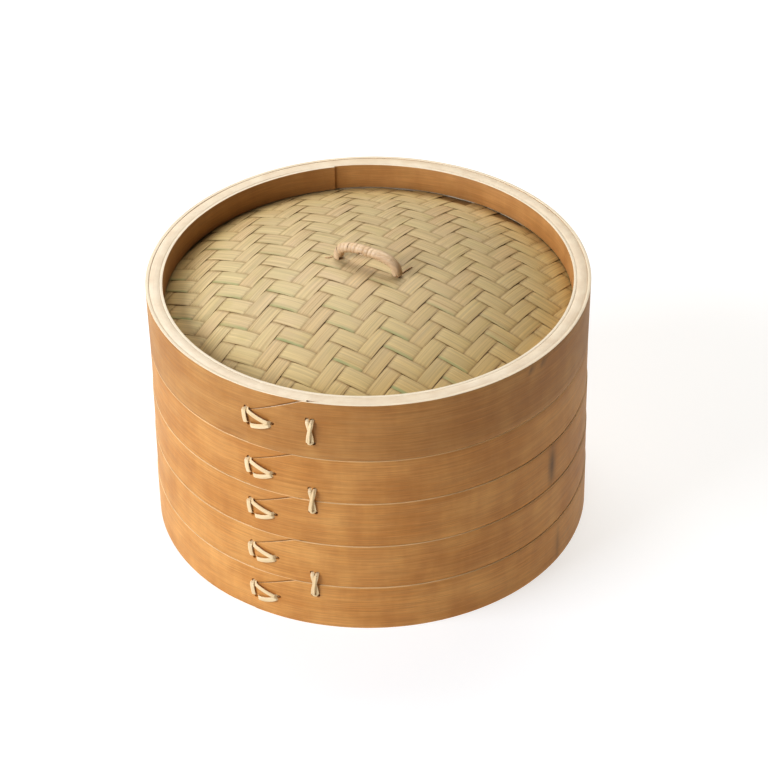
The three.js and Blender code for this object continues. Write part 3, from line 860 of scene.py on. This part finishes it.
# ---- Woven mats ----
def woven_mat(name, node, material, origin, along_a, along_b, pitch_a, pitch_b, top_depth, seed, twist_seed):
    """Two families of flat strips, each over two and under two of the other."""
    thick = 0.42 * MM
    lift = 0.28 * MM
    crown = 0.03 * MM
    room = 0.10 * MM
    sample = 1.35 * MM
    sharpness = 2.3
    bias = 0.17
    edges = [-1.0, -0.86, -0.45, 0.0, 0.45, 0.86, 1.0]
    picks = random.Random(seed)
    origin = np.array(origin)
    dir_a = np.array(along_a) / np.linalg.norm(along_a)
    dir_b = np.array(along_b) / np.linalg.norm(along_b)
    shape = Shape()
    for family in (0, 1):
        run_dir = dir_a if family == 0 else -dir_b
        step_dir = -dir_b if family == 0 else dir_a
        pitch = pitch_a if family == 0 else pitch_b
        other = pitch_b if family == 0 else pitch_a
        reach = int(2.4 * MAT_RADIUS / pitch) // 2 + 3
        for index in range(-reach, reach + 1):
            tone = picks.random() * 0.55 if family == 0 else 0.3 + picks.random() * 0.7
            green = max(0.0, picks.random() * 1.7 - 0.6) * smooth((index + 5) / 7) if family == 0 else 0.0
            narrow = picks.uniform(0.0, 0.35) * MM
            shift = picks.uniform(-0.12, 0.12) * MM
            half = (pitch - room - narrow) / 2
            centre = pitch * (index + 0.5) + shift
            spans = []
            for edge in edges:
                base = origin + step_dir * (centre + edge * half)
                b = float(base @ run_dir)
                c = float(base @ base) - MAT_RADIUS**2
                spans.append((-b - sqrt(b * b - c), -b + sqrt(b * b - c)) if b * b > c else None)
            if any(span is None for span in spans):
                continue
            longest = max(end - start for start, end in spans)
            if longest < 12 * MM:
                continue
            count = max(6, int(longest / sample))
            top = np.zeros((count + 1, len(edges), 3))
            bottom = np.zeros_like(top)
            grain = np.zeros_like(top)
            strip = np.zeros_like(top)
            sunk = np.zeros((count + 1, len(edges)))
            for k, edge in enumerate(edges):
                start, end = spans[k]
                for i in range(count + 1):
                    run = start + (end - start) * i / count
                    cell = run / other
                    phase = (cell - index) if family == 0 else (index - cell - 1)
                    floats = floor(phase / 4)
                    wave = sin(pi * phase / 2) - bias
                    wave = tanh(sharpness * wave) / tanh(sharpness * (1 - bias))
                    own = wander(index * 0.73, floats * 1.31, family * 5.0 + seed)
                    height = lift * wave * (1 + 0.12 * own)
                    tilt = 0.07 * MM * edge * wander(index * 1.7, floats * 0.9, family + 9.0 + seed)
                    sway = 0.10 * MM * wander(run * 18, index * 2.3, family + 3.0 + seed)
                    flat = origin + run_dir * run + step_dir * (centre + edge * half + sway)
                    radius = hypot(*flat)
                    z = dome(radius) - top_depth - lift - thick / 2 - crown + height + tilt
                    rounded = abs(edge) ** 3
                    z_top = z + thick / 2 * (1 - 0.5 * rounded) + crown * (1 - edge * edge)
                    z_low = z - thick / 2 * (1 - 0.6 * rounded)
                    top[i, k] = (*flat, z_top)
                    bottom[i, k] = (*flat, z_low)
                    grain[i, k] = (run, edge * half, index * 0.37 + family * 11.3 + twist_seed)
                    side = edge if family == 0 else -edge
                    strip[i, k] = (tone, 0.5 - 0.5 * side, green)
                    # how far the strip has sunk, which the material turns into painted shade
                    sunk[i, k] = smooth((0.15 - wave) / 0.9)
            shape.add_slab(top, bottom, grain=grain, strip=strip, sunk=sunk)
    add_piece(name, shape.mesh(name), material, node, sharp=60)


def ribs():
    """Four splints bent to the dome, two along X below two along Y."""
    for i in range(1, 5):
        node = f"lid_rib_{i}"
        low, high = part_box(node)
        along_x = high.x - low.x > high.y - low.y
        lo, hi = (low, high) if along_x else (low.yxz, high.yxz)
        centre = (lo.y + hi.y) / 2
        half = (hi.y - lo.y) / 2
        outer_side = max(abs(lo.y), abs(hi.y))
        depth = dome(hypot(0, outer_side)) - hi.z
        bevel = 0.4 * MM
        thick = 2.2 * MM
        edges = [-half, -half + bevel, 0.0, half - bevel, half]
        steps = 60
        top = np.zeros((steps + 1, len(edges), 3))
        bottom = np.zeros_like(top)
        grain = np.zeros_like(top)
        for s in range(steps + 1):
            run = lo.x + (hi.x - lo.x) * s / steps
            z = dome(hypot(run, outer_side)) - depth - 0.05 * MM
            for k, off in enumerate(edges):
                drop = bevel if k in (0, len(edges) - 1) else 0.0
                place = (run, centre + off) if along_x else (centre + off, run)
                top[s, k] = (*place, z - drop)
                bottom[s, k] = (*place, z - thick + 0.1 * MM + drop)
                grain[s, k] = (run, off, 30.0 + i)
        shape = Shape()
        shape.add_slab(top, bottom, grain=grain)
        add_piece(f"rib_{i}", shape.mesh(f"rib_{i}"), splint_wood, node, sharp=30)


# ---- Handle ----
def arch(steps=96):
    """The handle's centre line from foot to foot and its outward side, in its own upright plane."""
    foot = dome(HANDLE_HALF_SPAN)
    rise = dome(0) + HANDLE_RISE - foot
    line = []
    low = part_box("handle_cane_core")[0].z + 1.6 * MM
    for z in np.linspace(low, foot, 10)[:-1]:
        line.append((-HANDLE_HALF_SPAN, z))
    for i in range(steps + 1):
        turn = pi * i / steps
        across = -copysign(abs(cos(turn)) ** HANDLE_SQUARENESS, cos(turn))
        up = max(sin(turn), 0.0) ** HANDLE_SQUARENESS
        line.append((HANDLE_HALF_SPAN * across, foot + rise * up))
    for z in np.linspace(foot, low, 10)[1:]:
        line.append((HANDLE_HALF_SPAN, z))
    line = np.array(line)
    travel = distance_along(line)
    even = np.linspace(0, travel[-1], 420)
    x = np.interp(even, travel, line[:, 0])
    z = np.interp(even, travel, line[:, 1])
    for _ in range(6):
        x[1:-1] = (x[:-2] + 2 * x[1:-1] + x[2:]) / 4
        z[1:-1] = (z[:-2] + 2 * z[1:-1] + z[2:]) / 4
    turn = radians(HANDLE_ANGLE)
    plane = np.array([cos(turn), sin(turn), 0.0])
    points = x[:, None] * plane + z[:, None] * np.array([0, 0, 1.0])
    tangent = unit_rows(np.gradient(points, axis=0))
    side = np.cross(np.array([0, 0, 1.0]), plane)
    outward = np.cross(tangent, side)
    outward *= np.sign(outward[len(outward) // 2, 2])
    return points, outward, np.broadcast_to(side, points.shape), even


def wound(shape, course, first, last, radius, pitch, start_turn, width, thickness, seed):
    """A strip wound round the arch between two distances along it."""
    line, outward, side, travel = course
    where = travel[(travel >= first) & (travel <= last)]
    count = max(60, int((last - first) / pitch * 26))
    even = np.linspace(where[0], where[-1], count)
    turns = (start_turn + 2 * pi * (even - even[0]) / pitch)[:, None]
    resampled = lambda rows: np.stack([np.interp(even, travel, column) for column in rows.T], 1)
    at, out, across = resampled(line), resampled(outward), resampled(side)
    spoke = out * np.cos(turns) + across * np.sin(turns)
    points, faces, grain = ribbon(at + spoke * radius, spoke, width, thickness, 10)
    grain[:, 2] = seed
    shape.add(points, faces, grain=grain)


def handle():
    course = arch()
    length = course[3][-1]
    leg = 10.5 * MM
    core = Shape()
    strands = 5
    for k in range(strands):
        turn = 2 * pi * k / strands
        wound(core, course, 0, length, 1.05 * MM, 90 * MM, turn, 1.75 * MM, 1.5 * MM, 50.0 + k)
    knot = 3.0 * MM
    for end in (0.0, length - knot):
        wound(core, course, end, end + knot, 2.75 * MM, 1.5 * MM, 0.4, 1.5 * MM, 1.3 * MM, 57.0)
    for x, y, ahead_x, ahead_y, width in (
        (-19.9, 10.1, -1.0, 0.5, 0.9),
        (-21.4, 9.6, -1.0, 0.1, 0.8),
        (-22.9, 9.9, -0.9, 0.4, 0.7),
        (18.4, -8.4, 6.4, 7.2, 0.9),
    ):
        path = []
        for i in range(13):
            share = i / 12
            place = ((x + ahead_x * share) * MM, (y + ahead_y * share) * MM)
            arc = 4 * share * (1 - share)
            path.append((*place, dome(hypot(*place)) + (0.15 + 0.5 * arc) * MM))
        points, faces, grain = ribbon(path, [(0, 0, 1)] * 13, width * MM, 0.45 * MM, 8, 0.5)
        core.add(points, faces, grain=grain)
    add_piece("handle_core", core.mesh("handle_core"), cane_dark, "handle_cane_core", sharp=60)

    wrap = Shape()
    picks = random.Random(11)
    first = leg + 0.5 * MM
    close = first + 0.68 * (length - 2 * leg)
    place = first
    while place < close:
        pitch = picks.uniform(2.2, 2.9) * MM
        broad = pitch * 1.12
        start_turn = picks.uniform(-0.5, 0.5) - 2.2
        seed = 60.0 + place * 900
        wound(wrap, course, place, place + broad, 2.62 * MM, pitch, start_turn, broad, 0.6 * MM, seed)
        place += pitch
    long_turn = 46 * MM
    for k in range(6):
        turn = 2 * pi * k / 6 + 0.3
        end = length - leg - 0.5 * MM
        wound(wrap, course, close - 3 * MM, end, 2.5 * MM, long_turn, turn, 2.8 * MM, 0.8 * MM, 80.0 + k)
    for offset in (0.6 * MM, 6.8 * MM):
        spot = length - leg - 3.2 * MM - offset
        wound(wrap, course, spot, spot + 2.5 * MM, 2.65 * MM, 2.3 * MM, -2.0, 2.2 * MM, 0.6 * MM, 90.0)
    add_piece("handle_winding", wrap.mesh("handle_winding"), cane_peel, "handle_wrap", sharp=60)


def splint():
    low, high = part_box("handle_splint")
    turn = radians(HANDLE_ANGLE)
    length = 60 * MM
    width = 8 * MM
    shape = Shape()
    plank(shape, "X", 0.0, width, lambda y: -length / 2, lambda y: length / 2, low.z, high.z, 41.0)
    mesh = shape.mesh("splint")
    mesh.transform(Matrix.Rotation(turn, 4, "Z"))
    add_piece("splint", mesh, splint_wood, "handle_splint", sharp=30)


# ---- Building ----
def tier(name, seed):
    upper_radius, upper_low, upper_high = node_box(f"{name}_upper_band")
    lower_radius, lower_low, lower_high = node_box(f"{name}_lower_band")
    seam = (upper_low + lower_high) / 2
    upper_middle = (seam + upper_high) / 2 - 0.9 * MM
    lower_middle = (seam + lower_low) / 2 + 0.1 * MM
    knots = knot_holes(lower_radius, seam)
    upper_holes = lacing_holes(upper_radius, upper_middle)
    lower_holes = lacing_holes(lower_radius, lower_middle)

    core_radius, core_low, core_high = node_box(f"{name}_core_hoop")
    mesh = hoop(
        f"{name}_core", CORE_INNER, lambda z: core_radius + GAP - SLIT, core_low, core_high,
        0.3 * MM, seed, seam=150.0, holes=upper_holes + lower_holes + knots,
    )
    add_piece(f"{name}_core", mesh, core_wood, f"{name}_core_hoop")
    tone = 1.0 if name == "lower_tier" else 0.96
    faint_mark = (57, 12 * MM, 0.9, 12 * MM, 0.6)
    strong_mark = (53.5, 14 * MM, 1.3, 12 * MM, 1.3)
    lower_marks = [faint_mark if name == "lower_tier" else strong_mark]
    band(
        f"{name}_band_upper", f"{name}_upper_band", upper_low, upper_high, lambda z: upper_radius,
        TIER_LAP_DROP, seed + 1.7, (), upper_holes + knots, tone,
    )
    band(
        f"{name}_band_lower", f"{name}_lower_band", lower_low, lower_high, lambda z: lower_radius,
        TIER_LAP_DROP, seed + 4.1, lower_marks, lower_holes + knots, tone * 1.03,
    )
    for ring, width, label, wood in (
        ("inner_ring", INNER_PLY, "lip", ply_wood),
        ("floor_ring", RING_WIDTH, "floor_hoop", ring_wood),
    ):
        radius, low, high = node_box(f"{name}_{ring}")
        inner = radius - width
        mesh = hoop(f"{name}_{label}", inner, lambda z: radius, low, high, 0.3 * MM, seed + 6, seam=200.0)
        add_piece(f"{name}_{label}", mesh, wood, f"{name}_{ring}")
    lap_lacing(f"{name}_stitch_upper", f"{name}_upper_lacing", upper_radius, upper_middle, seed + 11)
    lap_lacing(f"{name}_stitch_lower", f"{name}_lower_lacing", lower_radius, lower_middle, seed + 12)
    both_knots(name, lower_radius, seam, seed + 13)
    floor_of(name, seed + 20)


def lid(seed):
    radius, low, high = node_box("lid_outer_band")
    foot_radius = radius - 0.5 * MM
    flared = lambda z: foot_radius + 0.5 * MM * (z - low) / (high - low)
    middle = (low + high) / 2
    lacing_middle = middle + 0.1 * MM
    knot_middle = middle - 0.8 * MM
    holes = lacing_holes(radius, lacing_middle) + knot_holes(radius, knot_middle)
    core_outer = lambda z: flared(z) - PLY - SLIT
    mesh = hoop("lid_core", CORE_INNER, core_outer, low, high, 0.15 * MM, seed, seam=236.0, holes=holes)
    add_piece("lid_core", mesh, core_wood, "lid_core_hoop")
    marks = [(44, 33.0 * MM, 0.8, 1.6 * MM, 1.2), (48.5, 33.0 * MM, 0.8, 1.8 * MM, 1.2)]
    band(
        "lid_band", "lid_outer_band", low, high, flared, LID_LAP_DROP, seed + 2.9, marks, holes,
        tone=0.80, lap_shift=3.0,
    )
    for node, width, label, wood, thinned in (
        ("lid_rim_ring", INNER_PLY, "lid_rim", ply_wood, 0.9 * MM),
        ("lid_retaining_ring", RING_WIDTH, "lid_retainer", ring_wood, 0.0),
    ):
        outer, ring_low, ring_high = node_box(node)
        outer += GAP - SLIT
        inner = outer - width
        mesh = hoop(
            label, inner, lambda z: outer, ring_low, ring_high, 0.25 * MM, seed + 6,
            seam=189.3, thinned=thinned,
        )
        add_piece(label, mesh, wood, node)
    lap_lacing("lid_stitch", "lid_lacing", radius, lacing_middle, seed + 11)
    both_knots("lid", radius, knot_middle, seed + 13)
    woven_mat(
        "mat_outer", "lid_woven_mat_outer", weave_outer, origin=(-21.8 * MM, -11.5 * MM),
        along_a=(0.8462, -0.5329), along_b=(0.5621, 0.8271), pitch_a=10.65 * MM, pitch_b=9.25 * MM,
        top_depth=0.0, seed=3, twist_seed=0.0,
    )
    woven_mat(
        "mat_inner", "lid_woven_mat_inner", weave_inner, origin=(4 * MM, 3 * MM),
        along_a=(0.79, -0.61), along_b=(0.61, 0.79), pitch_a=12.4 * MM, pitch_b=12.4 * MM,
        top_depth=INNER_MAT_DEPTH, seed=8, twist_seed=50.0,
    )
    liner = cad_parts["lid_leaf_liner"]
    liner.data.materials.clear()
    liner.data.materials.append(leaf)
    ribs()
    handle()
    splint()


# ---- Stage ----
def camera():
    elevation = radians(36.42)
    roll = radians(-1.10)
    target = Vector((0, 0, 70 * MM))
    back = Vector((0, -cos(elevation), sin(elevation)))
    right = Vector((1, 0, 0))
    up = Vector((0, sin(elevation), cos(elevation)))
    tilted_right = right * cos(roll) + up * sin(roll)
    tilted_up = up * cos(roll) - right * sin(roll)
    data = bpy.data.cameras.new("camera")
    data.sensor_width = 36.0
    data.lens = 129.0
    data.shift_x = 0.0178
    data.shift_y = 0.0120
    data.clip_end = 50
    view = bpy.data.objects.new("camera", data)
    turn = Matrix((tilted_right, tilted_up, back)).transposed().to_4x4()
    view.matrix_world = Matrix.Translation(target + back * 1.594) @ turn
    link(view)
    bpy.context.scene.camera = view


def softbox(name, place, size, watts, colour=(1, 1, 1)):
    data = bpy.data.lights.new(name, "AREA")
    data.shape = "RECTANGLE"
    data.size, data.size_y = size
    data.energy = watts
    data.color = colour
    lamp = bpy.data.objects.new(name, data)
    lamp.location = place
    aim = Vector((0, 0, 90 * MM)) - lamp.location
    lamp.rotation_euler = aim.to_track_quat("-Z", "Y").to_euler()
    link(lamp)


def stage():
    softbox("key_left", (-1.55, -0.75, 1.15), (1.2, 1.0), 43, (0.93, 1.0, 1.17))
    softbox("top_back", (0.0, 1.1, 1.7), (1.6, 1.3), 29)
    softbox("fill_front", (0.95, -1.9, 0.75), (1.4, 1.0), 2, (1.0, 0.75, 0.5))
    world = bpy.data.worlds.new("studio")
    world.use_nodes = True
    background = world.node_tree.nodes["Background"]
    background.inputs["Color"].default_value = (1.0, 0.98, 0.95, 1)
    background.inputs["Strength"].default_value = 0.10
    scene = bpy.context.scene
    scene.world = world
    scene.view_settings.view_transform = "Standard"
    scene.view_settings.gamma = 0.8

    half = 6.0
    low = cad_box[0][2]
    mesh = bpy.data.meshes.new("floor")
    corners = [(-half, -half, low), (half, -half, low), (half, half, low), (-half, half, low)]
    mesh.from_pydata(corners, [], [(0, 1, 2, 3)])
    ground = bpy.data.objects.new("floor", mesh)
    link(ground)
    material, _, shader = new_material("pale_floor", 0.9, 0.1)
    shader.inputs["Base Color"].default_value = (0.35, 0.35, 0.35, 1)
    shader.inputs["Emission Color"].default_value = (1.0, 0.985, 0.96, 1)
    shader.inputs["Emission Strength"].default_value = 0.74
    mesh.materials.append(material)


camera()
stage()
tier("lower_tier", 10)
tier("upper_tier", 50)
lid(90)
